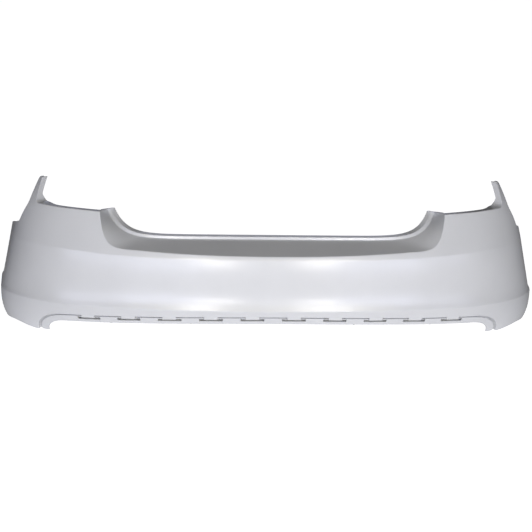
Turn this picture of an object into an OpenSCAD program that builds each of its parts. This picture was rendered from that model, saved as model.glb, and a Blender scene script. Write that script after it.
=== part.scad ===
// Rear bumper cover of a saloon car: a thin painted skin with the boot-lid recess and the two lamp
// fingers, its castellated lower rail, and the supports, guides and fasteners that hold it.
// x runs across the car, y towards the car, z up. The shapes are worked out from a rear datum
// (y = 0 at the rearmost point, z = 0 at the skin's lower edge on the centre line) and then moved,
// so that the origin is the middle of the centre support's mounting face.

/* [Overall] */
// Half of the overall width, at the wheel arches
half_width = 886; // [876:1:896]
// Wall thickness of the skin
wall = 3; // [2.6:0.1:3.4]
// Depth over which the rear face turns into the flanks
corner_depth = 309; // [295:1:325]
// Outward flare of the flanks in degrees
flare = 6.5; // [5:0.5:8]

/* [Rear face] */
// Height of the lower crease
lower_crease_z = 19; // [15:1:24]
// Height of the upper crease
upper_crease_z = 174; // [168:1:178]
// How far the face leans forward between the creases
face_lean = 27; // [22:1:32]
// Forward lean of the shoulder above the upper crease, per millimetre of height
shoulder_lean = 0.32; // [0.26:0.01:0.36]

/* [Boot-lid recess] */
// Half-width of the recess at its upper corners
recess_half = 541; // [530:1:550]
// Height of the recess's front edge on the centre line
recess_z = 184; // [182:1:188]
// Height of the recess's upper corners, where the lamp edge begins
corner_z = 298; // [290:1:306]
// Height at which the sill meets the riser
sill_z = 214; // [211:1:217]
// Depth at which the sill meets the riser
sill_y = 118; // [112:1:120]

/* [Fingers and wings] */
// Height of the tip of the finger between lamp and quarter panel
finger_z = 374; // [366:1:384]
// Height of the wing's top edge at the wheel arch
wing_top_z = 163; // [157:1:169]
// Radius of the wheel arch
arch_r = 345; // [340:1:350]
// Width of the flange turned in along the wheel arch
arch_flange = 14; // [10:1:18]

/* [Lower rail] */
// Number of slots on each side of the centre
slots_per_side = 5; // [4:1:5]
// Distance between slots
slot_pitch = 126; // [122:1:127]
// Length of a slot
slot_w = 72; // [66:1:76]
// Depth of a slot below the skin's lower edge
slot_h = 17; // [15:0.5:18]
// Width of the tongue of the skin that hangs into each slot
tongue_w = 41; // [36:1:46]
// Length of a tongue
tongue_h = 8.5; // [6:0.5:10]

/* [Fixings] */
// Distance between the bolts of the centre support
support_pitch = 240; // [220:5:250]
// Diameter of the clearance holes for M6 bolts
bolt_hole_d = 6.6; // [6.4:0.1:7]
// Diameter of an expanding rivet's shank
rivet_d = 8; // [7:0.5:9]

/* [Hidden] */

support_face_y = 142;
support_z = 192;
tan_flare = tan(flare);
flank_x0 = half_width - 600 * tan_flare;
plan_n = 2.48;
flank_lean = 37;
flank_step = 4;
flank_shoulder = 0.257;
finger_lean = 0.0023;
finger_lean_z = 250;
edge_tuck = 10;
top_share = 1 / 3;
lower_crease_drop = 6;
upper_crease_rise = 9;
edge_drop = 24;
hook_x0 = 640;
hook_x1 = 747;
hook_z = -98;
wing_z = -80;
arch_y = 761;
arch_z = -108;
recess_n = 9;
corner_rise = 85;
// Lines along the recess: half-width, height at the centre and at the top, rounding, depth at the
// centre and at the top
recess_line = [recess_half, recess_z, corner_z, 19.5, 0, 0];
sill_line = [recess_half - 34, sill_z, corner_z - 12, 40, sill_y, sill_y + corner_rise];
riser_line = [recess_half - 45, sill_z + 9, corner_z - 10, 39, sill_y + 1, sill_y + corner_rise + 1];
ledge_line = [recess_half - 57, sill_z + 10.5, corner_z - 8, 38, sill_y + 20, sill_y + corner_rise + 4];
primer = "silver";
black = [0.12, 0.12, 0.13];
steel = [0.6, 0.6, 0.62];

// Smooth step from 0 to 1
function sm(t) =
    let (c = min(max(t, 0), 1))
    c * c * (3 - 2 * c);

// Plan curve of the widest line: half-width at depth y, and its outward normal
function plan_x(y) =
    let (w = 1 - pow(max(1 - y / corner_depth, 0), 2))
    flank_x0 * pow(w, 1 / plan_n) + y * tan_flare;
function plan_depth(xs) = corner_depth * (1 - sqrt(max(1 - pow(xs / flank_x0, plan_n), 0)));
function plan_y(x, y = 0, k = 8) =
    k == 0 ? y : plan_y(x, plan_depth(min(max(x - y * tan_flare, 0), flank_x0)), k - 1);
function plan_normal(y) =
    let (a = max(y - 0.5, 0.01))
    let (t = [plan_x(y + 0.5) - plan_x(a), y + 0.5 - a])
    [t[1], -t[0]] / norm(t);

// Heights of the creases, and how far the skin lies inside the plan curve at height z
function flank(y) = sm((y - 60) / 240);
function lower_crease(y) = lower_crease_z - lower_crease_drop * sm(y / 100);
function upper_crease(y) = upper_crease_z + upper_crease_rise * sm(y / 120);
function face_inset(z, y) =
    let (v = min(max((z - lower_crease(y)) / (upper_crease(y) - lower_crease(y)), 0), 1))
    let (s = flank(y), even = 0.5 + 0.5 * s, u = pow(2 * v - 1, 3))
    (face_lean + (flank_lean - face_lean) * s)
        * (even * v + (1 - even) * (0.5 + 0.5 * u * (u > 0 ? top_share : 1)))
    + flank_step * s * sm((z - lower_crease(y)) / 12);
function shoulder_inset(z, y) =
    let (s = flank(y))
    max(z - upper_crease(y), 0) * (shoulder_lean + (flank_shoulder - shoulder_lean) * s)
    + s * finger_lean * pow(max(z - finger_lean_z, 0), 2);
function tuck_inset(z, y) =
    let (s = flank(y), b = max(lower_crease(y) - z, 0))
    b * edge_tuck / 19 * (1 - s) + 26 * s * pow(b / 110, 3);
function inset(z, y) = face_inset(z, y) + shoulder_inset(z, y) + tuck_inset(z, y);
function skin_point(x, y, z, inner = 0) =
    let (n = plan_normal(y), d = inset(z, y) + inner)
    [x - n[0] * d, y - n[1] * d, z];

// Outline of the recess's front edge, of the skin's lower edge and of the wheel arch
function recess_edge(x) =
    let (low = recess_z + 9 * pow(min(x, 417) / 417, 2))
    low + (corner_z - low) * exp((x - recess_half) / recess_line[3]);
// Point of one of the recess's lines that belongs to the front edge's point at half-width x
function line_point(line, x) =
    let (x1 = recess_half - recess_line[3] * ln(recess_n), x2 = line[0] - line[3] * ln(recess_n))
    let (px = x < x1 ? x * x2 / x1 : line[0] + line[3] * (x - recess_half) / recess_line[3])
    let (rise = exp((px - line[0]) / line[3]))
    [px, line[4] + (line[5] - line[4]) * rise, line[1] + (line[2] - line[1]) * rise];
function lower_edge(x, y) =
    x < hook_x0 ? -edge_drop * pow(x / hook_x0, 2)
    : x < hook_x1 ?
        let (c = (x - hook_x0) / (hook_x1 - hook_x0))
        -edge_drop + (hook_z + edge_drop) * (1 - sqrt(1 - c * c))
    : hook_z + (wing_z - hook_z) * sm((y - plan_y(hook_x1)) / 80);
function arch_edge(z) = arch_y - sqrt(max(pow(arch_r, 2) - pow(min(z, wing_top_z) - arch_z, 2), 1));

// Corner of a path rounded to radius r, as n + 1 points of its arc
function corner(a, b, c, r, n) =
    let (u = (a - b) / norm(a - b), v = (c - b) / norm(c - b))
    let (half = acos(u * v) / 2, reach = r / tan(half))
    let (p = b + u * reach, q = b + v * reach, m = (u + v) / norm(u + v), o = b + m * r / sin(half))
    let (e = (p - o) / r, f = (q - o) / r, sweep = 180 - 2 * half)
    [for (i = [0:n]) o + r * (sin(sweep * (n - i) / n) * e + sin(sweep * i / n) * f) / sin(sweep)];

// Top edge of a finger and its wing in side view, as [y, z]
root = [174, 300];
tip_back = [180, finger_z];
tip_front = [198, finger_z];
finger_knee = [205, 297];
finger_foot = [240, 232];
wing_end = [arch_edge(wing_top_z), wing_top_z];
finger_edge = concat(
    corner([140, 299.5], root, tip_back, 12, 4),
    [(root + tip_back) / 2],
    corner(root, tip_back, tip_front, 6, 2),
    corner(tip_back, tip_front, finger_knee, 8, 3),
    [(tip_front + finger_knee) / 2],
    corner(tip_front, finger_knee, finger_foot, 50, 3),
    corner(finger_knee, finger_foot, wing_end, 12, 3)
);

// Columns of the skin from the centre line to the arch: [x, y, top, bottom, wing share, kind]
slot_xs = [for (k = [0:slots_per_side - 1]) (k + 0.5) * slot_pitch];
tongue_xs = [for (x = slot_xs) each [x - tongue_w / 2, x + tongue_w / 2]];
recess_xs = concat(
    [0],
    [for (x = tongue_xs) if (x < 480) x],
    [for (k = [1:recess_n]) recess_half + recess_line[3] * ln(k / recess_n)]
);
lamp_xs = concat(
    [for (x = tongue_xs) if (x > recess_half + 2) x],
    [618],
    [for (a = [10:16:90]) hook_x0 + (hook_x1 - hook_x0) * sin(a)]
);
function in_slot(x, w) = min([for (c = slot_xs) abs(abs(x) - c)]) < w / 2;
wing_steps = 6;
rear_columns = [
    for (x = concat(recess_xs, lamp_xs))
    let (y = plan_y(x), top = x <= recess_half ? recess_edge(x) : corner_z + 1.5 * (x - recess_half) / 200)
    [x, y, top, lower_edge(x, y), 0, x <= recess_half ? 0 : 1]
];
finger_columns = [
    for (p = finger_edge)
    [plan_x(p[0]), p[0], p[1], lower_edge(plan_x(p[0]), p[0]), 0, p[0] < tip_back[0] + 2 ? 2 : 3]
];
wing_start = finger_edge[len(finger_edge) - 1];
wing_columns = [
    for (i = [1:wing_steps])
    let (p = wing_start + (wing_end - wing_start) * i / wing_steps)
    [plan_x(p[0]), p[0], p[1], wing_z, (p[0] - wing_start[0]) / (wing_end[0] - wing_start[0]), 4]
];
half_columns = concat(rear_columns, finger_columns, wing_columns);
columns = len(half_columns);

// Rows of a column: the end of a tongue, shares of its lower band, face and shoulder, the turned-in edge
tongue_lean = 3;
lower_rows = [0, 0.25, 0.6];
face_rows = [0, 0.07, 0.22, 0.5, 0.78, 0.93];
shoulder_rows = [0, 0.15];
upper_rows = [0, 0.5, 1];
body_rows = len(lower_rows) + len(face_rows) + len(shoulder_rows) + len(upper_rows);
rows = 1 + body_rows + 3;
function row_heights(c) =
    let (lc = lower_crease(c[1]), uc = min(upper_crease(c[1]), c[2] - 6), mid = min(240, (uc + c[2]) / 2))
    concat(
        [for (s = lower_rows) c[3] + (lc - c[3]) * s],
        [for (s = face_rows) lc + (uc - lc) * s],
        [for (s = shoulder_rows) uc + (mid - uc) * s],
        [for (s = upper_rows) mid + (c[2] - mid) * s]
    );
function column_point(c, z) =
    let (y = c[4] == 0 ? c[1] : wing_start[0] + c[4] * (arch_edge(z) - wing_start[0]))
    skin_point(c[4] == 0 ? c[0] : plan_x(y), y, z);

// The turned-in edge of a column: sill and riser in the recess, a flange elsewhere
function recess_return(c) = [for (line = [sill_line, riser_line, ledge_line]) line_point(line, c[0])];
function flange_depth(c) =
    c[5] == 1 ? 20 + 20 * sm((c[1] - 118) / 45)
    : c[5] == 2 ? 40 - 18 * sm((c[2] - root[1]) / 25)
    : c[5] == 3 ? 9 : 8;
function edge_return(c, e) =
    let (n = plan_normal(c[1]))
    [for (k = [1:3]) e - flange_depth(c) * k / 3 * [n[0], n[1], 0]];
function column_points(c) =
    let (body = [for (z = row_heights(c)) column_point(c, z)], e = body[body_rows - 1])
    let (n = plan_normal(c[1]), end = body[0] - [tongue_lean * n[0], tongue_lean * n[1], tongue_h])
    concat([end], body, c[5] == 0 ? recess_return(c) : edge_return(c, e));
function arch_points(c) =
    let (n = plan_normal(c[1]), body = column_points(c))
    [for (p = body) p - arch_flange * [n[0], n[1], 0]];

half_grid = concat([for (c = half_columns) column_points(c)], [arch_points(half_columns[columns - 1])]);
function mirrored(p) = [-p[0], p[1], p[2]];
grid = concat(
    [for (i = [columns:-1:1]) [for (p = half_grid[i]) mirrored(p)]],
    half_grid
);
last = 2 * columns;

function sum(v, i = 0) = i == len(v) ? 0 : v[i] + sum(v, i + 1);
function vertex(i, j, rows) = i * rows + j;

// A closed shell of thickness t over the cells of a grid whose mask is true, thickened inwards
function has_cell(mask, i, j) =
    i >= 0 && i < len(mask) && j >= 0 && j < len(mask[0]) && mask[i][j];
function cell_normal(g, i, j) =
    let (a = g[i + 1][j + 1] - g[i][j], b = g[i][j + 1] - g[i + 1][j], n = cross(a, b))
    n / max(norm(n), 0.001);
function vertex_normal(g, mask, i, j) =
    let (s = [for (a = [i - 1, i]) for (b = [j - 1, j]) if (has_cell(mask, a, b)) cell_normal(g, a, b)])
    let (n = [for (k = [0:2]) sum([for (v = s) v[k]])])
    n / max(norm(n), 0.001);
module shell(g, mask, t) {
    cols = len(g);
    rows = len(g[0]);
    count = cols * rows;
    outer = [for (i = [0:cols - 1]) for (j = [0:rows - 1]) g[i][j]];
    inner = [for (i = [0:cols - 1]) for (j = [0:rows - 1]) g[i][j] - t * vertex_normal(g, mask, i, j)];
    cells = [for (i = [0:cols - 2]) for (j = [0:rows - 2]) if (mask[i][j]) [i, j]];
    faces_out = [
        for (c = cells)
        let (a = vertex(c[0], c[1], rows), b = vertex(c[0] + 1, c[1], rows))
        each [[a, a + 1, b], [b, a + 1, b + 1]]
    ];
    faces_in = [for (f = faces_out) [f[0] + count, f[2] + count, f[1] + count]];
    rims = [
        for (c = cells)
        let (i = c[0], j = c[1], a = vertex(i, j, rows), b = vertex(i + 1, j, rows))
        each [
            if (!has_cell(mask, i, j - 1)) [a, b],
            if (!has_cell(mask, i + 1, j)) [b, b + 1],
            if (!has_cell(mask, i, j + 1)) [b + 1, a + 1],
            if (!has_cell(mask, i - 1, j)) [a + 1, a]
        ]
    ];
    faces_rim = [for (r = rims) each [[r[0], r[1], r[1] + count], [r[0], r[1] + count, r[0] + count]]];
    polyhedron(concat(outer, inner), concat(faces_out, faces_in, faces_rim));
}

// The skin's first row of cells is only there at the tongues, and its last ones stop short of the arch
// flange's corners
function has_tongue(k) =
    k < columns - 1 && in_slot((half_columns[k][0] + half_columns[k + 1][0]) / 2, tongue_w);
module cover_skin() {
    mask = [
        for (i = [0:last - 1])
        let (k = floor(abs(i + 0.5 - columns)))
        [for (j = [0:rows - 2]) j == 0 ? has_tongue(k) : k < columns - 1 || j < body_rows - 1]
    ];
    color(primer) datum() shell(grid, mask, wall);
}

// Lower rail: points lie a given distance below the skin's lower edge, square to it in rear view
rail_wall = 2.5;
rail_gap = 5;
hook_gap = 2;
rail_h = 27;
rail_set_back = 4;
rail_groove = 15;
rail_shelf = 24;
rail_lip = 14;
rail_lip_back = wall + 1.2;
rail_flange = 18;
rail_half = concat(
    [0],
    [for (x = slot_xs) each [x - slot_w / 2, x, x + slot_w / 2]],
    [615],
    [for (a = [0:11:88]) hook_x0 + (hook_x1 - hook_x0) * sin(a)]
);
rail_xs = concat([for (i = [len(rail_half) - 1:-1:1]) -rail_half[i]], rail_half);
function edge_normal(x) =
    let (c = min(max((x - hook_x0) / (hook_x1 - hook_x0), 0), 1))
    let (n = [-c / (hook_x1 - hook_x0), -sqrt(1 - c * c) / (-hook_z - edge_drop)])
    n / norm(n);
function rail_point(x, below, back) =
    let (ax = abs(x), e = [ax, lower_edge(ax, 0)] + below * edge_normal(ax))
    let (p = skin_point(e[0], plan_y(e[0]), e[1], back))
    [x < 0 ? -p[0] : p[0], p[1], p[2]];
function rail_front(x) =
    let (n = plan_normal(plan_y(abs(x))))
    let (depth = rail_shelf * (1 - 0.75 * sm((abs(x) - 612) / 110)))
    rail_point(x, rail_h, rail_set_back) - depth * [x < 0 ? -n[0] : n[0], n[1], 0];
function rail_end(x) = 1 - 0.9 * sm((abs(x) - 612) / 60);
function gap(x) = rail_gap + hook_gap * sm((abs(x) - 612) / 60);
function rail_column(x) = [
    rail_front(x) + [0, 0, rail_flange * rail_end(x)],
    rail_front(x),
    rail_point(x, rail_h, rail_set_back),
    rail_point(x, slot_h, rail_set_back),
    rail_point(x, gap(x), rail_set_back),
    rail_point(x, gap(x), rail_groove),
    rail_point(x, -1, rail_groove),
    rail_point(x, -5, rail_lip_back),
    rail_point(x, -rail_lip, rail_lip_back)
];
module lower_rail() {
    g = [for (x = rail_xs) rail_column(x)];
    mid = [for (i = [0:len(rail_xs) - 2]) (rail_xs[i] + rail_xs[i + 1]) / 2];
    mask = [for (x = mid) [for (j = [0:7]) !(j == 3 && in_slot(x, slot_w))]];
    color(primer) datum() difference() {
        shell(g, mask, rail_wall);
        for (k = [0:3])
            translate(rivet_place(k)) cylinder(h = 30, d = rivet_hole_d, center = true, $fn = 48);
    }
}

// Expanding rivets hang through the rail's shelf; each pin slides down out of its body
rivet_xs = [-4, -2, 2, 4];
rivet_hole_d = rivet_d + 0.8;
rivet_share = 0.62;
rivet_length = 12;
rivet_flange_r = 7;
rivet_flange_h = 1.4;
rivet_gap = 0.7;
rivet_shoulder_h = 3.5;
pin_r = 2.4;
pin_clearance = 0.05;
pin_head_r = 4.6;
pin_head_h = 1.2;
function rivet_place(k) =
    let (x = rivet_xs[k] * slot_pitch)
    rivet_share * rail_front(x) + (1 - rivet_share) * rail_point(x, rail_h, rail_set_back);
module rivet_bodies() {
    color(black) datum() for (k = [0:3]) translate(rivet_place(k) - [0, 0, rivet_gap]) difference() {
        union() {
            translate([0, 0, -rivet_flange_h]) cylinder(h = rivet_flange_h, r = rivet_flange_r, $fn = 64);
            cylinder(h = rivet_shoulder_h, r = rivet_d / 2 + 0.2, $fn = 48);
            cylinder(h = rivet_length, r = rivet_d / 2, $fn = 48);
        }
        cylinder(h = 60, r = pin_r + pin_clearance, center = true, $fn = 48);
    }
}
module rivet_pin(k) {
    color(black) datum() translate(rivet_place(k) - [0, 0, rivet_gap + rivet_flange_h + 0.1]) {
        translate([0, 0, -pin_head_h]) cylinder(h = pin_head_h, r = pin_head_r, $fn = 48);
        cylinder(h = rivet_length + rivet_flange_h, r = pin_r, $fn = 48);
    }
}

// Cutter for bolt holes that run along y
module holes_along_y(xs, y, z, d) {
    for (x = xs) translate([x, y, z]) rotate([90, 0, 0]) cylinder(h = 12, d = d, $fn = 48);
}
// Outline in the y-z plane, drawn out to both sides of x = 0
module bar_along_x(half, outline) {
    rotate([90, 0, 90]) translate([0, 0, -half]) linear_extrude(2 * half) polygon(outline);
}

// Centre support: an angle bar under the sill, bolted to the rear panel along y
support_half = 395;
support_t = 3.5;
support_shelf_z = 196;
support_shelf_t = 3;
support_rear_y = 100;
support_plate_z = [172, 212];
support_rib_t = 3;
support_ribs = 13;
support_xs = [-1.5, -0.5, 0.5, 1.5] * support_pitch;
module centre_support() {
    back = support_face_y - support_t;
    shelf_top = support_shelf_z + support_shelf_t;
    rib_end = support_half - support_rib_t / 2;
    color(black) datum() difference() {
        union() {
            bar_along_x(support_half, [
                [support_rear_y, support_shelf_z], [back, support_shelf_z],
                [back, support_plate_z[0]], [support_face_y, support_plate_z[0]],
                [support_face_y, support_plate_z[1]], [back, support_plate_z[1]],
                [back, shelf_top], [support_rear_y, shelf_top]
            ]);
            for (i = [0:support_ribs - 1])
                translate([rib_end * (2 * i / (support_ribs - 1) - 1), 0, 0])
                    bar_along_x(support_rib_t / 2, [
                        [support_rear_y + 14, support_shelf_z + 1], [back + 1, support_shelf_z + 1],
                        [back + 1, support_plate_z[0] + 2]
                    ]);
        }
        holes_along_y(support_xs, support_face_y + 1, support_z, bolt_hole_d);
    }
}

// Spring clips on the support's rear edge press up against the sill
sill_clip_xs = [-300:150:300];
sill_clip_w = 20;
module sill_clips() {
    y = support_rear_y;
    z = support_shelf_z;
    color(steel) datum() for (x = sill_clip_xs) translate([x, y, z]) bar_along_x(sill_clip_w / 2, [
        [12, -1.3], [12, -0.3], [-0.3, -0.3], [-0.3, 3.2], [4, 3.2], [8, 6.2],
        [12, 3.3], [13, 4], [8, 7.6], [3.4, 4.3], [-1.3, 4.3], [-1.3, -1.3]
    ]);
}

// Snap clips hold the rail's lip against the skin, one between each pair of slots
lip_slope = atan(edge_tuck / 19 + 0.05);
rail_clip_w = 18;
rail_clip_in = rail_wall + 0.55;
rail_clip_out = rail_wall + 4;
module rail_clips() {
    color(black) datum() for (k = [-slots_per_side + 1:slots_per_side - 1]) {
        n = plan_normal(plan_y(abs(k) * slot_pitch));
        turn = atan(n[0] / -n[1]) * sign(k);
        translate(rail_point(k * slot_pitch, -rail_lip, rail_lip_back))
            rotate([0, 0, turn]) rotate([lip_slope, 0, 0]) bar_along_x(rail_clip_w / 2, [
                [rail_clip_in, -6], [rail_clip_out, -6], [rail_clip_out, 3],
                [0.4, 3], [0.4, 0.5], [rail_clip_in, 0.5]
            ]);
    }
}

// Band that follows the inside of the flank at an offset from the plan curve, between two depths
function offset_point(x, y, d) = [x, y] - d * plan_normal(y);
function band(y0, y1, from, to, n = 12) =
    let (ys = [for (i = [0:n]) y0 + (y1 - y0) * i / n])
    concat(
        [for (y = ys) offset_point(plan_x(y), y, from)],
        [for (i = [n:-1:0]) offset_point(plan_x(ys[i]), ys[i], to)]
    );
module standing_band(y0, y1, from, to, z, h, n = 12) {
    translate([0, 0, z]) linear_extrude(h) polygon(band(y0, y1, from, to, n));
}
module side_outline(outline) {
    translate([half_width, 0, 0]) rotate([90, 0, -90]) mirror([1, 0, 0])
        linear_extrude(200) polygon(outline);
}

// Side guide: screwed to the quarter panel along x, it carries the wing's top edge
guide_y = [275, 500];
guide_low_z = 126;
guide_ribs_y = [285:35:495];
guide_rib_t = 3;
guide_bolts = [310, 430];
guide_bolt_z = 148;
guide_out = 52;
guide_in = 60;
guide_t = 4;
guide_face_x = 790;
guide_boss_r = 9;
guide_clips_y = [345, 450];
guide_clip_drop = 34;
guide_clip_w = 14;
function wing_top(y) =
    let (t = (y - wing_start[0]) / (wing_end[0] - wing_start[0]))
    wing_start[1] + (wing_end[1] - wing_start[1]) * t;
module side_guide() {
    color(black) datum() difference() {
        union() {
            intersection() {
                union() {
                    standing_band(guide_y[0], guide_y[1], guide_in - guide_t, guide_in, 60, 200);
                    standing_band(guide_y[0], guide_y[1], guide_out, guide_in, guide_low_z, guide_t);
                    for (y = guide_ribs_y)
                        standing_band(y, y + guide_rib_t, guide_out, guide_in - 1, 60, 200, 1);
                }
                side_outline([
                    [guide_y[0], guide_low_z], [guide_y[1], guide_low_z],
                    [guide_y[1], wing_top(guide_y[1]) - 14], [guide_y[0], wing_top(guide_y[0]) - 18]
                ]);
            }
            for (y = guide_bolts)
                translate([guide_face_x, y, guide_bolt_z]) rotate([0, 90, 0])
                    cylinder(h = plan_x(y) - guide_in + 1 - guide_face_x, r = guide_boss_r, $fn = 64);
        }
        for (y = guide_bolts)
            translate([half_width, y, guide_bolt_z]) rotate([0, -90, 0])
                cylinder(h = 200, d = bolt_hole_d, $fn = 48);
    }
}
// A clip's outline in the plane square to the skin, drawn out along it; x is the distance outwards
module clip_on_flank(x, y, z, offset, w, outline) {
    turn = atan2(plan_normal(y)[1], plan_normal(y)[0]);
    translate([x, y, z]) rotate([0, 0, turn]) translate([offset, w / 2, 0])
        rotate([90, 0, 0]) linear_extrude(w) polygon(outline);
}
module guide_clips() {
    color(steel) datum() for (y = guide_clips_y)
        clip_on_flank(
            plan_x(y), y, wing_top(y) - guide_clip_drop, 0.3 - guide_out, guide_clip_w,
            [[0, 0], [6, 3], [6, 4.2], [0.9, 1.8], [0.9, 12], [0, 12]]
        );
}

// Lamp support: a bracket under the lamp edge, with two bolt holes along y
lamp_face_y = 190;
lamp_z = 274;
lamp_bolts = [575, 640];
lamp_low_z = 262;
lamp_h = 22;
lamp_t = 3;
lamp_rim_back = 68;
lamp_rim_xs = [562:17:698];
lamp_clips_x = [590, 640];
lamp_clips_z = 278;
module lamp_support() {
    xs = [for (x = lamp_rim_xs) x];
    rim = [for (x = xs) offset_point(x, plan_y(x), lamp_rim_back)];
    inner = [for (i = [len(xs) - 1:-1:0]) offset_point(xs[i], plan_y(xs[i]), lamp_rim_back + lamp_t)];
    inner_x = rim[0][0];
    outer_x = rim[len(rim) - 1][0];
    color(black) datum() difference() {
        translate([0, 0, lamp_low_z]) {
            linear_extrude(lamp_t) polygon(concat(rim, [[outer_x, lamp_face_y], [inner_x, lamp_face_y]]));
            linear_extrude(lamp_h) polygon(concat(rim, inner));
            translate([inner_x, lamp_face_y - lamp_t, 0]) cube([outer_x - inner_x, lamp_t, lamp_h]);
        }
        holes_along_y(lamp_bolts, lamp_face_y + 1, lamp_z, bolt_hole_d);
    }
}
module lamp_clips() {
    color(steel) datum() for (x = lamp_clips_x)
        clip_on_flank(
            x, plan_y(x), lamp_clips_z, 0.3 - lamp_rim_back, 12,
            [[0, -6], [0.8, -6], [0.8, 3], [3, 5], [2.6, 6], [0, 4]]
        );
}

// Arch bracket: an angle inside the wheel-arch flange, with two screws and nuts for the arch liner
arch_screw_z = [-36, -4];
arch_screw_x = 822;
arch_screw_r = 2.5;
arch_plate_y = 405;
arch_bracket_x = [800, 846];
arch_bracket_y = 362;
arch_bracket_z = -50;
arch_bracket_h = 60;
arch_bracket_t = 3;
arch_ribs_z = [-50, -21.5, 7];
module arch_bracket() {
    t = arch_bracket_t;
    wide = arch_bracket_x[1] - arch_bracket_x[0];
    color(black) datum() difference() {
        union() {
            translate([arch_bracket_x[0], arch_plate_y, arch_bracket_z]) cube([wide, t, arch_bracket_h]);
            translate([arch_bracket_x[1] - t, arch_bracket_y, arch_bracket_z])
                cube([t, arch_plate_y + 1 - arch_bracket_y, arch_bracket_h]);
            for (z = arch_ribs_z) translate([arch_bracket_x[1] - 2, arch_plate_y + 1, z])
                linear_extrude(t) polygon([[-34, 0], [0, 0], [0, -34]]);
        }
        for (z = arch_screw_z)
            holes_along_y([arch_screw_x], arch_plate_y + 5, z, 2 * arch_screw_r + 0.4);
    }
}
module arch_screws() {
    color(steel) datum() for (z = arch_screw_z)
        translate([arch_screw_x, arch_plate_y + arch_bracket_t, z]) rotate([-90, 0, 0]) {
            translate([0, 0, 0.05]) cylinder(h = 1.2, r = 7, $fn = 48);
            translate([0, 0, 1.2]) difference() {
                cylinder(h = 3.6, r = 4.6, $fn = 6);
                translate([0, 0, 2]) cylinder(h = 3, r = 2, $fn = 6);
            }
            translate([0, 0, -14]) cylinder(h = 15, r = arch_screw_r, $fn = 48);
        }
}
module arch_nuts() {
    color(steel) datum() for (z = arch_screw_z)
        translate([arch_screw_x, arch_plate_y - 0.05, z]) rotate([90, 0, 0]) difference() {
            union() {
                translate([-8, -8, 0]) cube([16, 16, 1]);
                cylinder(h = 5, r = 4.5, $fn = 48);
            }
            cylinder(h = 30, r = arch_screw_r + 0.05, center = true, $fn = 48);
        }
}

// From the rear datum to the origin at the centre support's mounting face
module datum() {
    translate([0, -support_face_y, -support_z]) children();
}
module left() {
    mirror([1, 0, 0]) children();
}

cover_skin();
lower_rail();
centre_support();
sill_clips();
rail_clips();
left() side_guide();  // side_guide_left
side_guide();  // side_guide_right
left() guide_clips();  // guide_clips_left
guide_clips();  // guide_clips_right
left() lamp_support();  // lamp_support_left
lamp_support();  // lamp_support_right
left() lamp_clips();  // lamp_clips_left
lamp_clips();  // lamp_clips_right
left() arch_bracket();  // arch_bracket_left
arch_bracket();  // arch_bracket_right
left() arch_screws();  // arch_screws_left
arch_screws();  // arch_screws_right
left() arch_nuts();  // arch_nuts_left
arch_nuts();  // arch_nuts_right
rivet_bodies();
rivet_pin(0);  // rivet_pin_1
rivet_pin(1);  // rivet_pin_2
rivet_pin(2);  // rivet_pin_3
rivet_pin(3);  // rivet_pin_4
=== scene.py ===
import math

import bmesh
import bpy
from mathutils import Matrix, Vector


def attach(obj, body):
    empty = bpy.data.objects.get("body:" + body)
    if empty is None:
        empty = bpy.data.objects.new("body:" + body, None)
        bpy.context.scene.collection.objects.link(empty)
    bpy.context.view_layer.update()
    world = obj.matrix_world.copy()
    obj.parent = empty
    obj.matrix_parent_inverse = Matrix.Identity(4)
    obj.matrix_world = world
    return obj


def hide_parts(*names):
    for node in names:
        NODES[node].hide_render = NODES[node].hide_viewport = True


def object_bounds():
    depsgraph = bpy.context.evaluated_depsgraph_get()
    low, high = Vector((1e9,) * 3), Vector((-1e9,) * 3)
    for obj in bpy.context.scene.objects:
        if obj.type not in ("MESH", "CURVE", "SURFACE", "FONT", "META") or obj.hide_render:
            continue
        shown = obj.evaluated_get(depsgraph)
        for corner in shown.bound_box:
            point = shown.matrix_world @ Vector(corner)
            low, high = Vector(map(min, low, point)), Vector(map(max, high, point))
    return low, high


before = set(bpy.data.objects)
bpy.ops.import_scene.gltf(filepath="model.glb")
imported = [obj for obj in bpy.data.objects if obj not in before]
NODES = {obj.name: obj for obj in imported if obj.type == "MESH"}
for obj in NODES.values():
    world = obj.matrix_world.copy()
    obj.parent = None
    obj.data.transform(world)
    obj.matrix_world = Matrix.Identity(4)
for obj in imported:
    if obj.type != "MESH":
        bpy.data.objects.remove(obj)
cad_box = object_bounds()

PLATE = Vector((0.0, 0.142, 0.192))  # middle of the support's mounting face, from the rear datum


# ---------------------------------------------------------------- shape of the skin
# Metres from the rear datum: y = 0 at the rearmost point, z = 0 at the skin's lower edge on the
# centre line. The driving sizes are the CAD's.
HALF_WIDTH = 0.886
WALL = 0.003
CORNER_DEPTH = 0.309
TAN_FLARE = math.tan(math.radians(6.5))
FLANK_X = HALF_WIDTH - 0.6 * TAN_FLARE
PLAN_POWER = 2.48

LOWER_CREASE = 0.019
UPPER_CREASE = 0.174
FACE_LEAN = 0.027
TOP_SHARE = 1 / 3
FLANK_LEAN = 0.037
SHOULDER_LEAN = 0.32
FLANK_SHOULDER = 0.257

RECESS_HALF = 0.541
RECESS_Z = 0.184
CORNER_Z = 0.298
SILL_Z = 0.214
SILL_Y = 0.118
RISER_H, LEDGE_H = 0.009, 0.0105
CORNER_RISE = 0.085
RECESS_ROUND = 0.0195
RECESS_N = 9

HOOK_X0, HOOK_X1 = 0.640, 0.747
HOOK_Z = -0.098
EDGE_DROP = 0.024
WING_Z = -0.080
WING_TOP_Z = 0.163
ARCH_R, ARCH_Y, ARCH_Z = 0.345, 0.761, -0.108
ARCH_FLANGE = 0.014
FINGER_Z = 0.374

SLOTS = 5
SLOT_PITCH = 0.126
SLOT_W, SLOT_H = 0.072, 0.017
TONGUE_W, TONGUE_H, TONGUE_LEAN = 0.041, 0.0085, 0.003

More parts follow.
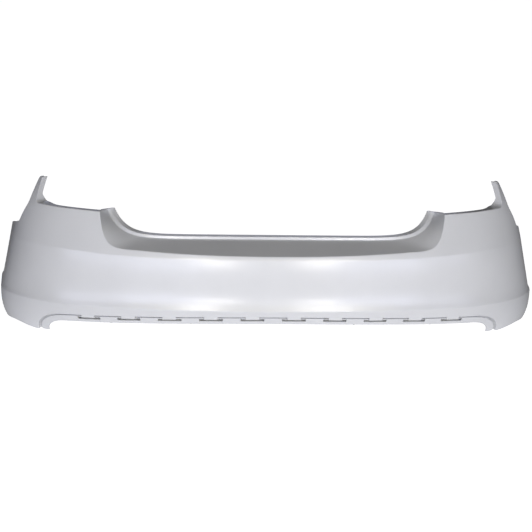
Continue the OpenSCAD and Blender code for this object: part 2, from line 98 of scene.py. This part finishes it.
RAIL_WALL, RAIL_H, RAIL_BACK = 0.0025, 0.027, 0.004
RAIL_GAP, HOOK_GAP, RAIL_GROOVE = 0.005, 0.002, 0.015
RAIL_SHELF, RAIL_LIP, RAIL_FLANGE = 0.024, 0.014, 0.018


def smooth(t):
    t = min(max(t, 0.0), 1.0)
    return t * t * (3 - 2 * t)


def mix(a, b, t):
    return a + (b - a) * t


def plan_x(y):
    """Half-width of the widest line at depth y."""
    w = 1 - max(1 - y / CORNER_DEPTH, 0.0) ** 2
    return FLANK_X * max(w, 0.0) ** (1 / PLAN_POWER) + y * TAN_FLARE


def plan_y(x):
    """Depth of the widest line at half-width x."""
    y = 0.0
    for _ in range(12):
        xs = min(max(x - y * TAN_FLARE, 0.0), FLANK_X)
        y = CORNER_DEPTH * (1 - math.sqrt(max(1 - (xs / FLANK_X) ** PLAN_POWER, 0.0)))
    return y


def plan_normal(y):
    a = max(y - 0.0005, 0.00001)
    t = Vector((plan_x(y + 0.0005) - plan_x(a), y + 0.0005 - a))
    return Vector((t.y, -t.x)).normalized()


def flank(y):
    return smooth((y - 0.060) / 0.240)


def lower_crease(y):
    return LOWER_CREASE - 0.006 * smooth(y / 0.100)


def upper_crease(y):
    return UPPER_CREASE + 0.009 * smooth(y / 0.120)


def inset(z, y):
    """How far the skin lies inside the widest line at height z."""
    s = flank(y)
    low, high = lower_crease(y), upper_crease(y)
    v = min(max((z - low) / (high - low), 0.0), 1.0)
    even = 0.5 + 0.5 * s
    u = (2 * v - 1) ** 3
    face = even * v + (1 - even) * (0.5 + 0.5 * u * (TOP_SHARE if u > 0 else 1))
    face *= mix(FACE_LEAN, FLANK_LEAN, s)
    face += 0.004 * s * smooth((z - low) / 0.012)
    shoulder = max(z - high, 0.0) * mix(SHOULDER_LEAN, FLANK_SHOULDER, s)
    finger = s * 2.3 * max(z - 0.250, 0.0) ** 2
    below = max(low - z, 0.0)
    tuck = below * 10 / 19 * (1 - s) + 0.026 * s * (below / 0.110) ** 3
    return face + shoulder + finger + tuck


def skin_point(x, y, z, inner=0.0):
    n = plan_normal(y)
    d = inset(z, y) + inner
    return Vector((x - n.x * d, y - n.y * d, z))


def recess_edge(x):
    low = RECESS_Z + 0.009 * (min(x, 0.417) / 0.417) ** 2
    return low + (CORNER_Z - low) * math.exp((x - RECESS_HALF) / RECESS_ROUND)


# Lines along the recess: half-width, height at the centre and at the top, rounding, depth at both
SILL = (RECESS_HALF - 0.034, SILL_Z, CORNER_Z - 0.012, 0.040, SILL_Y, SILL_Y + CORNER_RISE)
RISER = (
    RECESS_HALF - 0.045, SILL_Z + RISER_H, CORNER_Z - 0.010, 0.039,
    SILL_Y + 0.001, SILL_Y + CORNER_RISE + 0.001,
)
LEDGE = (
    RECESS_HALF - 0.057, SILL_Z + LEDGE_H, CORNER_Z - 0.008, 0.038,
    SILL_Y + 0.020, SILL_Y + CORNER_RISE + 0.004,
)


def line_point(line, x):
    half, z0, z1, rounding, y0, y1 = line
    x1 = RECESS_HALF - RECESS_ROUND * math.log(RECESS_N)
    x2 = half - rounding * math.log(RECESS_N)
    px = x * x2 / x1 if x < x1 else half + rounding * (x - RECESS_HALF) / RECESS_ROUND
    rise = math.exp((px - half) / rounding)
    return Vector((px, mix(y0, y1, rise), mix(z0, z1, rise)))


def lower_edge(x, y):
    if x < HOOK_X0:
        return -EDGE_DROP * (x / HOOK_X0) ** 2
    if x < HOOK_X1:
        c = (x - HOOK_X0) / (HOOK_X1 - HOOK_X0)
        return -EDGE_DROP + (HOOK_Z + EDGE_DROP) * (1 - math.sqrt(1 - c * c))
    return mix(HOOK_Z, WING_Z, smooth((y - plan_y(HOOK_X1)) / 0.080))


def arch_edge(z):
    return ARCH_Y - math.sqrt(max(ARCH_R**2 - (min(z, WING_TOP_Z) - ARCH_Z) ** 2, 1e-6))


def corner(a, b, c, r, n):
    """Corner of a path rounded to radius r, as n + 1 points."""
    a, b, c = Vector(a), Vector(b), Vector(c)
    u, v = (a - b).normalized(), (c - b).normalized()
    half = math.acos(u.dot(v)) / 2
    p, q = b + u * r / math.tan(half), b + v * r / math.tan(half)
    o = b + (u + v).normalized() * r / math.sin(half)
    e, f, sweep = (p - o) / r, (q - o) / r, math.pi - 2 * half
    return [
        o + r * (math.sin(sweep * (n - i) / n) * e + math.sin(sweep * i / n) * f) / math.sin(sweep)
        for i in range(n + 1)
    ]


def spaced(a, b, n):
    """n points from a on the way to b, leaving b out."""
    return [a + (b - a) * i / n for i in range(n)]


ROOT, TIP_BACK, TIP_FRONT = (0.174, 0.300), (0.180, FINGER_Z), (0.198, FINGER_Z)
FINGER_KNEE, FINGER_FOOT = (0.205, 0.297), (0.240, 0.232)
WING_END = (arch_edge(WING_TOP_Z), WING_TOP_Z)
LAMP_END = (0.140, 0.2995)


def finger_path():
    """Top edge of a finger and its wing in side view, as (y, z)."""
    stretches = [
        corner(LAMP_END, ROOT, TIP_BACK, 0.012, 10),
        corner(ROOT, TIP_BACK, TIP_FRONT, 0.006, 6),
        corner(TIP_BACK, TIP_FRONT, FINGER_KNEE, 0.008, 8),
        corner(TIP_FRONT, FINGER_KNEE, FINGER_FOOT, 0.050, 8),
        corner(FINGER_KNEE, FINGER_FOOT, WING_END, 0.012, 6),
    ]
    gaps = [10, 1, 10, 5]
    path = []
    for stretch, gap in zip(stretches, gaps):
        path += stretch[:-1]
        following = stretches[stretches.index(stretch) + 1][0]
        path += spaced(stretch[-1], following, gap)
    return path + stretches[-1]


FINGER_PATH = finger_path()
WING_START = FINGER_PATH[-1]


class Column:
    """A line up the skin from its lower edge to its top edge; share > 0 leans it along the wing."""

    def __init__(self, x, y, top, bottom, kind, share=0.0):
        self.x, self.y, self.top, self.bottom, self.kind, self.share = x, y, top, bottom, kind, share
        self.normal = plan_normal(y)

    def at(self, z):
        if not self.share:
            return skin_point(self.x, self.y, z)
        y = WING_START.x + self.share * (arch_edge(z) - WING_START.x)
        return skin_point(plan_x(y), y, z)


def stations(breaks, step):
    """Positions that include every break, at most a step apart."""
    out = []
    for a, b in zip(breaks, breaks[1:]):
        out += spaced(a, b, max(math.ceil((b - a) / step), 1))
    return out


SLOT_XS = [(k + 0.5) * SLOT_PITCH for k in range(SLOTS)]
TONGUE_EDGES = [x + side * TONGUE_W / 2 for x in SLOT_XS for side in (-1, 1)]


def in_slot(x, width):
    return min(abs(abs(x) - c) for c in SLOT_XS) < width / 2


def column_list():
    """Columns of the right half, from the centre line to just short of the arch's rounded edge."""
    corner_start = RECESS_HALF - RECESS_ROUND * math.log(RECESS_N)
    recess = stations([0] + [x for x in TONGUE_EDGES if x < corner_start] + [corner_start], 0.011)
    recess += [RECESS_HALF + RECESS_ROUND * math.log(k / 4 / RECESS_N) for k in range(4, 4 * RECESS_N + 1)]
    lamp = stations([RECESS_HALF + 0.002] + [x for x in TONGUE_EDGES if x > RECESS_HALF] + [HOOK_X0], 0.007)
    lamp += [HOOK_X0 + (HOOK_X1 - HOOK_X0) * math.sin(math.radians(a)) for a in range(0, 91, 4)]
    columns = []
    for x in recess + lamp:
        y = plan_y(x)
        top = recess_edge(x) if x <= RECESS_HALF else CORNER_Z + 0.0075 * (x - RECESS_HALF)
        columns.append(Column(x, y, top, lower_edge(x, y), "recess" if x <= RECESS_HALF else "lamp"))
    for p in FINGER_PATH:
        if plan_x(p.x) < columns[-1].x + 0.001 and p.x < 0.150:
            continue
        kind = "root" if p.x < TIP_BACK[0] + 0.002 else "finger"
        columns.append(Column(plan_x(p.x), p.x, p.y, lower_edge(plan_x(p.x), p.x), kind))
    return columns


WING_COLUMNS = 26
EDGE_ROUND = 0.0025
CREASE_ROUND = 0.003
CURVE = [0.25, 0.5, 0.75]


def wing_column(share):
    y = mix(WING_START.x, WING_END[0], share)
    return Column(plan_x(y), y, mix(WING_START.y, WING_TOP_Z, share), WING_Z, "wing", share)


def bend(a, b, c):
    """Points between a and c on the curve that b pulls on."""
    return [a * (1 - t) ** 2 + b * 2 * t * (1 - t) + c * t * t for t in CURVE]


def flange_depth(column):
    if column.kind == "lamp":
        return 0.020 + 0.020 * smooth((column.y - 0.118) / 0.045)
    if column.kind == "root":
        return 0.040 - 0.018 * smooth((column.top - ROOT[1]) / 0.025)
    return 0.009 if column.kind == "finger" else 0.008


def turned_edge(column, edge):
    """Corner points of the edge that is turned in: sill, riser and ledge, or a plain flange."""
    if column.kind == "recess":
        return [line_point(line, column.x) for line in (SILL, RISER, LEDGE)]
    n = Vector((column.normal.x, column.normal.y, 0))
    return [edge - n * flange_depth(column) * k / 3 for k in (1, 2, 3)]


def toward(a, b, distance):
    """The point this far from a on the way to b, at most 40% of the way."""
    step = b - a
    return a + step * min(distance / max(step.length, 1e-9), 0.4)


def column_rows(column):
    """Points up the column, from a tongue's end over the creases to the end of the turned-in edge."""
    y = column.y
    low = lower_crease(y)
    high = min(upper_crease(y), column.top - 0.006)
    r = CREASE_ROUND
    n = column.normal
    bottom = column.at(column.bottom)
    rows = [bottom - Vector((TONGUE_LEAN * n.x, TONGUE_LEAN * n.y, TONGUE_H))]
    rows += [column.at(z) for z in spaced(column.bottom, low - r, 8)] + [column.at(low - r)]
    rows += bend(column.at(low - r), column.at(low), column.at(low + r))
    rows += [column.at(z) for z in spaced(low + r, high - r, 24)] + [column.at(high - r)]
    rows += bend(column.at(high - r), column.at(high), column.at(high + r))
    edge = column.at(column.top)
    start = column.at(column.top - min(EDGE_ROUND, 0.3 * (column.top - high)))
    rows += [column.at(z) for z in spaced(high + r, start.z, 14)] + [start]
    body = len(rows) + 1
    path = [edge] + turned_edge(column, edge)
    end = toward(path[0], path[1], EDGE_ROUND)
    rows += bend(start, edge, end) + [end]
    for k in (1, 2):
        before = toward(path[k], path[k - 1], 0.002)
        after = toward(path[k], path[k + 1], 0.002)
        steps = 6 if k == 1 else 1
        rows += [rows[-1].lerp(before, i / steps) for i in range(1, steps + 1)]
        rows += bend(before, path[k], after) + [after]
    rows += [rows[-1].lerp(path[3], t) for t in (0.5, 1.0)]
    return rows, body


def skin_grid():
    columns = column_list()
    reach = (WING_END[0] - WING_START.x) * 0.998
    shares = [reach * i / WING_COLUMNS / (WING_END[0] - WING_START.x) for i in range(1, WING_COLUMNS + 1)]
    columns += [wing_column(s) for s in shares]
    grid = []
    for column in columns:
        rows, body = column_rows(column)
        grid.append(rows)
    tongues = [in_slot((a.x + b.x) / 2, TONGUE_W) and b.x < HOOK_X0 for a, b in zip(columns, columns[1:])]
    arch = wing_column(1.0)
    edge_rows, _ = column_rows(arch)
    n = Vector((arch.normal.x, arch.normal.y, 0))
    before = grid[-1]
    after = [p - n * EDGE_ROUND for p in edge_rows]
    for t in CURVE:
        corners = zip(before, edge_rows, after)
        grid.append([a * (1 - t) ** 2 + b * 2 * t * (1 - t) + c * t * t for a, b, c in corners])
    for depth in (EDGE_ROUND, ARCH_FLANGE / 2, ARCH_FLANGE):
        grid.append([p - n * depth for p in edge_rows])
    mask = []
    for i in range(len(grid) - 1):
        on_skin = i < len(columns) - 1
        mask.append([
            (on_skin and tongues[i]) if j == 0 else (on_skin or j < body - 2)
            for j in range(len(grid[0]) - 1)
        ])
    return grid, mask


def mirror_grid(grid, mask):
    """Both halves of a grid whose first column lies on the centre line."""
    flip = Vector((-1, 1, 1))
    left = [[p * flip for p in column] for column in grid[:0:-1]]
    return left + grid, mask[::-1] + mask


def shell(name, grid, mask, wall):
    """A closed sheet over the grid cells whose mask is true, thickened inwards."""
    grid, mask = mirror_grid(grid, mask)
    cols, rows = len(grid), len(grid[0])
    mesh = bmesh.new()
    used = {}
    for i in range(cols - 1):
        for j in range(rows - 1):
            if mask[i][j]:
                for key in ((i, j), (i + 1, j), (i + 1, j + 1), (i, j + 1)):
                    if key not in used:
                        used[key] = mesh.verts.new(grid[key[0]][key[1]] - PLATE)
                mesh.faces.new([used[k] for k in ((i, j), (i + 1, j), (i + 1, j + 1), (i, j + 1))])
    mesh.normal_update()
    inner = {key: mesh.verts.new(v.co - v.normal * wall) for key, v in used.items()}

    def has_cell(i, j):
        return 0 <= i < cols - 1 and 0 <= j < rows - 1 and mask[i][j]

    for i in range(cols - 1):
        for j in range(rows - 1):
            if not mask[i][j]:
                continue
            keys = ((i, j), (i + 1, j), (i + 1, j + 1), (i, j + 1))
            mesh.faces.new([inner[k] for k in reversed(keys)])
            beyond = ((i, j - 1), (i + 1, j), (i, j + 1), (i - 1, j))
            for k, cell in enumerate(beyond):
                if not has_cell(*cell):
                    a, b = keys[k], keys[(k + 1) % 4]
                    mesh.faces.new((used[b], used[a], inner[a], inner[b]))
    mesh.normal_update()
    data = bpy.data.meshes.new(name)
    mesh.to_mesh(data)
    mesh.free()
    data.shade_smooth()
    obj = bpy.data.objects.new(name, data)
    bpy.context.scene.collection.objects.link(obj)
    return obj


def soften(obj, width):
    """Rounds the cut edges of a sheet, and keeps its broad faces evenly shaded."""
    bevel = obj.modifiers.new("cut edges", "BEVEL")
    bevel.width = width
    bevel.segments = 2
    bevel.limit_method = "ANGLE"
    bevel.angle_limit = math.radians(50)
    weighted = obj.modifiers.new("even shading", "WEIGHTED_NORMAL")
    weighted.keep_sharp = True


skin = shell("skin", *skin_grid(), WALL)
soften(skin, 0.0006)
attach(skin, "cover")
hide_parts("cover_skin")


# ---------------------------------------------------------------- lower rail
def edge_normal(x):
    c = min(max((x - HOOK_X0) / (HOOK_X1 - HOOK_X0), 0.0), 1.0)
    return Vector((-c / (HOOK_X1 - HOOK_X0), -math.sqrt(1 - c * c) / (-HOOK_Z - EDGE_DROP))).normalized()


def rail_point(x, below, back):
    """The point this far below the skin's lower edge, square to it, and this far inside the skin."""
    edge = Vector((x, lower_edge(x, 0))) + edge_normal(x) * below
    return skin_point(edge.x, plan_y(edge.x), edge.y, back)


def rail_column(x):
    rear = rail_point(x, RAIL_H, RAIL_BACK)
    n = plan_normal(plan_y(x))
    depth = RAIL_SHELF * (1 - 0.75 * smooth((x - 0.612) / 0.110))
    front = rear - Vector((n.x, n.y, 0)) * depth
    top = front + Vector((0, 0, RAIL_FLANGE * (1 - 0.9 * smooth((x - 0.612) / 0.060))))
    slot_low = rail_point(x, SLOT_H, RAIL_BACK)
    gap_z = RAIL_GAP + HOOK_GAP * smooth((x - 0.612) / 0.060)
    gap, groove = rail_point(x, gap_z, RAIL_BACK), rail_point(x, gap_z, RAIL_GROOVE)
    riser = rail_point(x, -0.001, RAIL_GROOVE)
    lip_low = rail_point(x, -0.005, WALL + 0.0012)
    lip = rail_point(x, -RAIL_LIP, WALL + 0.0012)
    inner_front, inner_rear = toward(front, rear, 0.002), toward(rear, front, 0.002)
    up_front, up_rear = toward(front, top, 0.002), toward(rear, slot_low, 0.002)
    return (
        [top, up_front] + bend(up_front, front, inner_front) + [inner_front, inner_rear]
        + bend(inner_rear, rear, up_rear) + [up_rear, slot_low, gap, groove, riser, lip_low, lip]
    )


def rail_grid():
    xs = stations([0] + [x + s * SLOT_W / 2 for x in SLOT_XS for s in (-1, 1)] + [0.615, HOOK_X0], 0.012)
    xs += [HOOK_X0 + (HOOK_X1 - HOOK_X0) * math.sin(math.radians(a)) for a in range(0, 89, 4)]
    grid = [rail_column(x) for x in xs]
    slot_row = len(grid[0]) - 6
    mask = [
        [not (j == slot_row and in_slot((a + b) / 2, SLOT_W)) for j in range(len(grid[0]) - 1)]
        for a, b in zip(xs, xs[1:])
    ]
    return grid, mask


rail = shell("rail", *rail_grid(), RAIL_WALL)
soften(rail, 0.0004)
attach(rail, "cover")
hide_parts("lower_rail")


# ---------------------------------------------------------------- materials
def material(name, color, roughness, metallic=0.0):
    """A principled material with its node tree; the caller adds what makes it uneven."""
    mat = bpy.data.materials.new(name)
    mat.use_nodes = True
    nodes = mat.node_tree.nodes
    shader = nodes["Principled BSDF"]
    shader.inputs["Base Color"].default_value = (*color, 1)
    shader.inputs["Roughness"].default_value = roughness
    shader.inputs["Metallic"].default_value = metallic
    return mat, mat.node_tree, shader


def noise(tree, scale, detail=3.0, rough=0.5, stretch=None):
    """A noise texture fixed to the object, with its scale in cells per metre."""
    coords = tree.nodes.new("ShaderNodeTexCoord")
    node = tree.nodes.new("ShaderNodeTexNoise")
    node.inputs["Scale"].default_value = scale
    node.inputs["Detail"].default_value = detail
    node.inputs["Roughness"].default_value = rough
    source = coords.outputs["Object"]
    if stretch:
        mapping = tree.nodes.new("ShaderNodeMapping")
        mapping.inputs["Scale"].default_value = stretch
        tree.links.new(source, mapping.inputs["Vector"])
        source = mapping.outputs["Vector"]
    tree.links.new(source, node.inputs["Vector"])
    return node.outputs["Fac"]


def ramp(tree, factor, low, high, start=0.35, end=0.65):
    """Maps a factor between two colours or two values."""
    node = tree.nodes.new("ShaderNodeMapRange" if isinstance(low, float) else "ShaderNodeValToRGB")
    if isinstance(low, float):
        node.inputs["From Min"].default_value = start
        node.inputs["From Max"].default_value = end
        node.inputs["To Min"].default_value = low
        node.inputs["To Max"].default_value = high
        tree.links.new(factor, node.inputs["Value"])
        return node.outputs["Result"]
    node.color_ramp.elements[0].position = start
    node.color_ramp.elements[1].position = end
    node.color_ramp.elements[0].color = (*low, 1)
    node.color_ramp.elements[1].color = (*high, 1)
    tree.links.new(factor, node.inputs["Fac"])
    return node.outputs["Color"]


def bump(tree, shader, height, strength, distance):
    node = tree.nodes.new("ShaderNodeBump")
    node.inputs["Strength"].default_value = strength
    node.inputs["Distance"].default_value = distance
    tree.links.new(height, node.inputs["Height"])
    tree.links.new(node.outputs["Normal"], shader.inputs["Normal"])


def primer_material():
    """Light grey primer, satin, with a faint orange peel and slightly uneven tone."""
    mat, tree, shader = material("primer", (0.70, 0.71, 0.74), 0.2)
    tone = ramp(tree, noise(tree, 9, 4), (0.690, 0.700, 0.730), (0.710, 0.720, 0.750))
    tree.links.new(tone, shader.inputs["Base Color"])
    gloss = ramp(tree, noise(tree, 60, 3), 0.18, 0.22)
    tree.links.new(gloss, shader.inputs["Roughness"])
    bump(tree, shader, noise(tree, 400, 1), 0.02, 0.0004)
    return mat


def plastic_material():
    """Matt black moulded plastic with a fine spark-eroded grain."""
    mat, tree, shader = material("black plastic", (0.03, 0.03, 0.032), 0.55)
    tone = ramp(tree, noise(tree, 40, 4), (0.026, 0.026, 0.028), (0.042, 0.042, 0.045))
    tree.links.new(tone, shader.inputs["Base Color"])
    tree.links.new(ramp(tree, noise(tree, 300, 3), 0.48, 0.62), shader.inputs["Roughness"])
    bump(tree, shader, noise(tree, 1800, 2), 0.25, 0.0003)
    return mat


def steel_material():
    """Zinc-plated steel, drawn along its length, with duller patches."""
    mat, tree, shader = material("zinc steel", (0.62, 0.63, 0.64), 0.35, 1.0)
    tone = ramp(tree, noise(tree, 120, 4), (0.54, 0.55, 0.55), (0.68, 0.69, 0.70))
    tree.links.new(tone, shader.inputs["Base Color"])
    tree.links.new(ramp(tree, noise(tree, 200, 3), 0.28, 0.46), shader.inputs["Roughness"])
    bump(tree, shader, noise(tree, 900, 2, stretch=(0.1, 1, 1)), 0.15, 0.0002)
    return mat


primer, plastic, steel = primer_material(), plastic_material(), steel_material()
STEEL_WORDS = ("sill_clips", "guide_clips", "lamp_clips", "screws", "nuts")
skin.data.materials.append(primer)
rail.data.materials.append(primer)
for name, node in NODES.items():
    chosen = steel if any(word in name for word in STEEL_WORDS) else plastic
    if name in ("cover_skin", "lower_rail"):
        chosen = primer
    node.data.materials.clear()
    node.data.materials.append(chosen)


# ---------------------------------------------------------------- floor, light and camera
FLOOR_GLOW, SIDE_GLOW = 0.39, 0.06
GLOW_FROM, GLOW_TO = 0.64, 1.12


def stage_floor():
    """A wide pale floor at the cover's lowest point; its glow on the cover fades to the sides."""
    size = 40.0
    data = bpy.data.meshes.new("floor")
    corners = [(-size, -size, 0), (size, -size, 0), (size, size, 0), (-size, size, 0)]
    data.from_pydata(corners, [], [(0, 1, 2, 3)])
    floor = bpy.data.objects.new("floor", data)
    floor.location.z = cad_box[0][2] - 0.001
    bpy.context.scene.collection.objects.link(floor)
    mat, tree, shader = material("pale floor", (0.6, 0.6, 0.6), 0.9)
    shader.inputs["Specular IOR Level"].default_value = 0.0
    shader.inputs["Emission Color"].default_value = (1, 1, 1, 1)
    coords = tree.nodes.new("ShaderNodeTexCoord")
    across = tree.nodes.new("ShaderNodeSeparateXYZ")
    tree.links.new(coords.outputs["Object"], across.inputs[0])
    distance = tree.nodes.new("ShaderNodeMath")
    distance.operation = "ABSOLUTE"
    tree.links.new(across.outputs["X"], distance.inputs[0])
    pool = ramp(tree, distance.outputs[0], FLOOR_GLOW, SIDE_GLOW, GLOW_FROM, GLOW_TO)
    path = tree.nodes.new("ShaderNodeLightPath")
    glow = ramp(tree, path.outputs["Is Camera Ray"], FLOOR_GLOW, 1.0, 0.0, 1.0)
    tree.links.new(pool, glow.node.inputs["To Min"])
    tree.links.new(glow, shader.inputs["Emission Strength"])
    floor.data.materials.append(mat)


# Name, azimuth and elevation in degrees (azimuth 0 is straight behind the car), width, height, watts,
# colour. The panels stand low, so that the shoulder reflects the dark room above them.
COOL, WARM = (0.92, 0.955, 1.17), (1.0, 0.92, 0.55)
SOFT = (1.0, 0.975, 0.91)
LIGHTS = [
    ("front panel", 0, 2.5, 2.2, 0.85, 7, COOL),
    ("upper panel", 0, 14, 5.0, 0.9, 22, WARM),
    ("near left panel", -20, 2.5, 1.8, 0.85, 23, COOL),
    ("near right panel", 24, 2.5, 1.8, 0.85, 20, COOL),
    ("left panel", -45, 2.5, 2.2, 0.85, 18, COOL),
    ("right panel", 44, 2.5, 2.2, 0.85, 12, COOL),
    ("left highlight", -6, 3, 0.5, 0.4, 12, SOFT),
    ("right highlight", 10.5, 3, 0.5, 0.4, 12, SOFT),
    ("left lower highlight", -10.5, 13, 0.6, 0.8, 21, SOFT),
    ("right lower highlight", 13, 13, 0.9, 0.8, 26, SOFT),
    ("rear fill", 180, 25, 3.0, 1.5, 14, COOL),
]
LIGHT_DISTANCE = 4.5


def softbox(name, azimuth, elevation, width, height, power, color):
    """An area light that looks at the middle of the cover."""
    az, el = math.radians(azimuth), math.radians(elevation)
    aim = Vector((0, 0, -0.05))
    direction = Vector((math.sin(az) * math.cos(el), -math.cos(az) * math.cos(el), math.sin(el)))
    light = bpy.data.lights.new(name, "AREA")
    light.shape = "RECTANGLE"
    light.size, light.size_y = width, height
    light.energy = power
    light.color = color
    obj = bpy.data.objects.new(name, light)
    obj.location = aim + direction * LIGHT_DISTANCE
    obj.rotation_euler = direction.to_track_quat("Z", "Y").to_euler()
    obj.visible_camera = False
    bpy.context.scene.collection.objects.link(obj)
    return obj


def surroundings():
    """A dim warm room that the camera sees as plain white."""
    world = bpy.data.worlds.new("room")
    world.use_nodes = True
    tree = world.node_tree
    tree.nodes.clear()
    seen = tree.nodes.new("ShaderNodeBackground")
    seen.inputs["Color"].default_value = (1, 1, 1, 1)
    room = tree.nodes.new("ShaderNodeBackground")
    room.inputs["Color"].default_value = (0.02, 0.019, 0.016, 1)
    room.inputs["Strength"].default_value = 1.0
    path = tree.nodes.new("ShaderNodeLightPath")
    blend = tree.nodes.new("ShaderNodeMixShader")
    out = tree.nodes.new("ShaderNodeOutputWorld")
    tree.links.new(path.outputs["Is Camera Ray"], blend.inputs["Fac"])
    tree.links.new(room.outputs[0], blend.inputs[1])
    tree.links.new(seen.outputs[0], blend.inputs[2])
    tree.links.new(blend.outputs[0], out.inputs["Surface"])
    bpy.context.scene.world = world


def studio_camera():
    """Looks forward from behind the car, slightly from its left and from above."""
    az, el, roll = math.radians(-3.656), math.radians(15.28), math.radians(-1.377)
    distance = 3.957
    aim = Vector((0, 0, 0.150)) - PLATE
    ahead = Vector((-math.sin(az) * math.cos(el), math.cos(az) * math.cos(el), -math.sin(el)))
    right = Vector((math.cos(az), math.sin(az), 0))
    up = right.cross(ahead)
    x_axis = right * math.cos(roll) - up * math.sin(roll)
    y_axis = up * math.cos(roll) + right * math.sin(roll)
    data = bpy.data.cameras.new("camera")
    data.sensor_width = 36.0
    data.lens = 90.07
    data.shift_x, data.shift_y = -0.0166, 0.0082
    data.clip_end = 200.0
    camera = bpy.data.objects.new("camera", data)
    turn = Matrix((x_axis, y_axis, -ahead)).transposed().to_4x4()
    camera.matrix_world = Matrix.Translation(aim - ahead * distance) @ turn
    bpy.context.scene.collection.objects.link(camera)
    bpy.context.scene.camera = camera


stage_floor()
surroundings()
for name, azimuth, elevation, width, height, power, color in LIGHTS:
    softbox(name, azimuth, elevation, width, height, power, color)
studio_camera()
bpy.context.scene.view_settings.view_transform = "Standard"
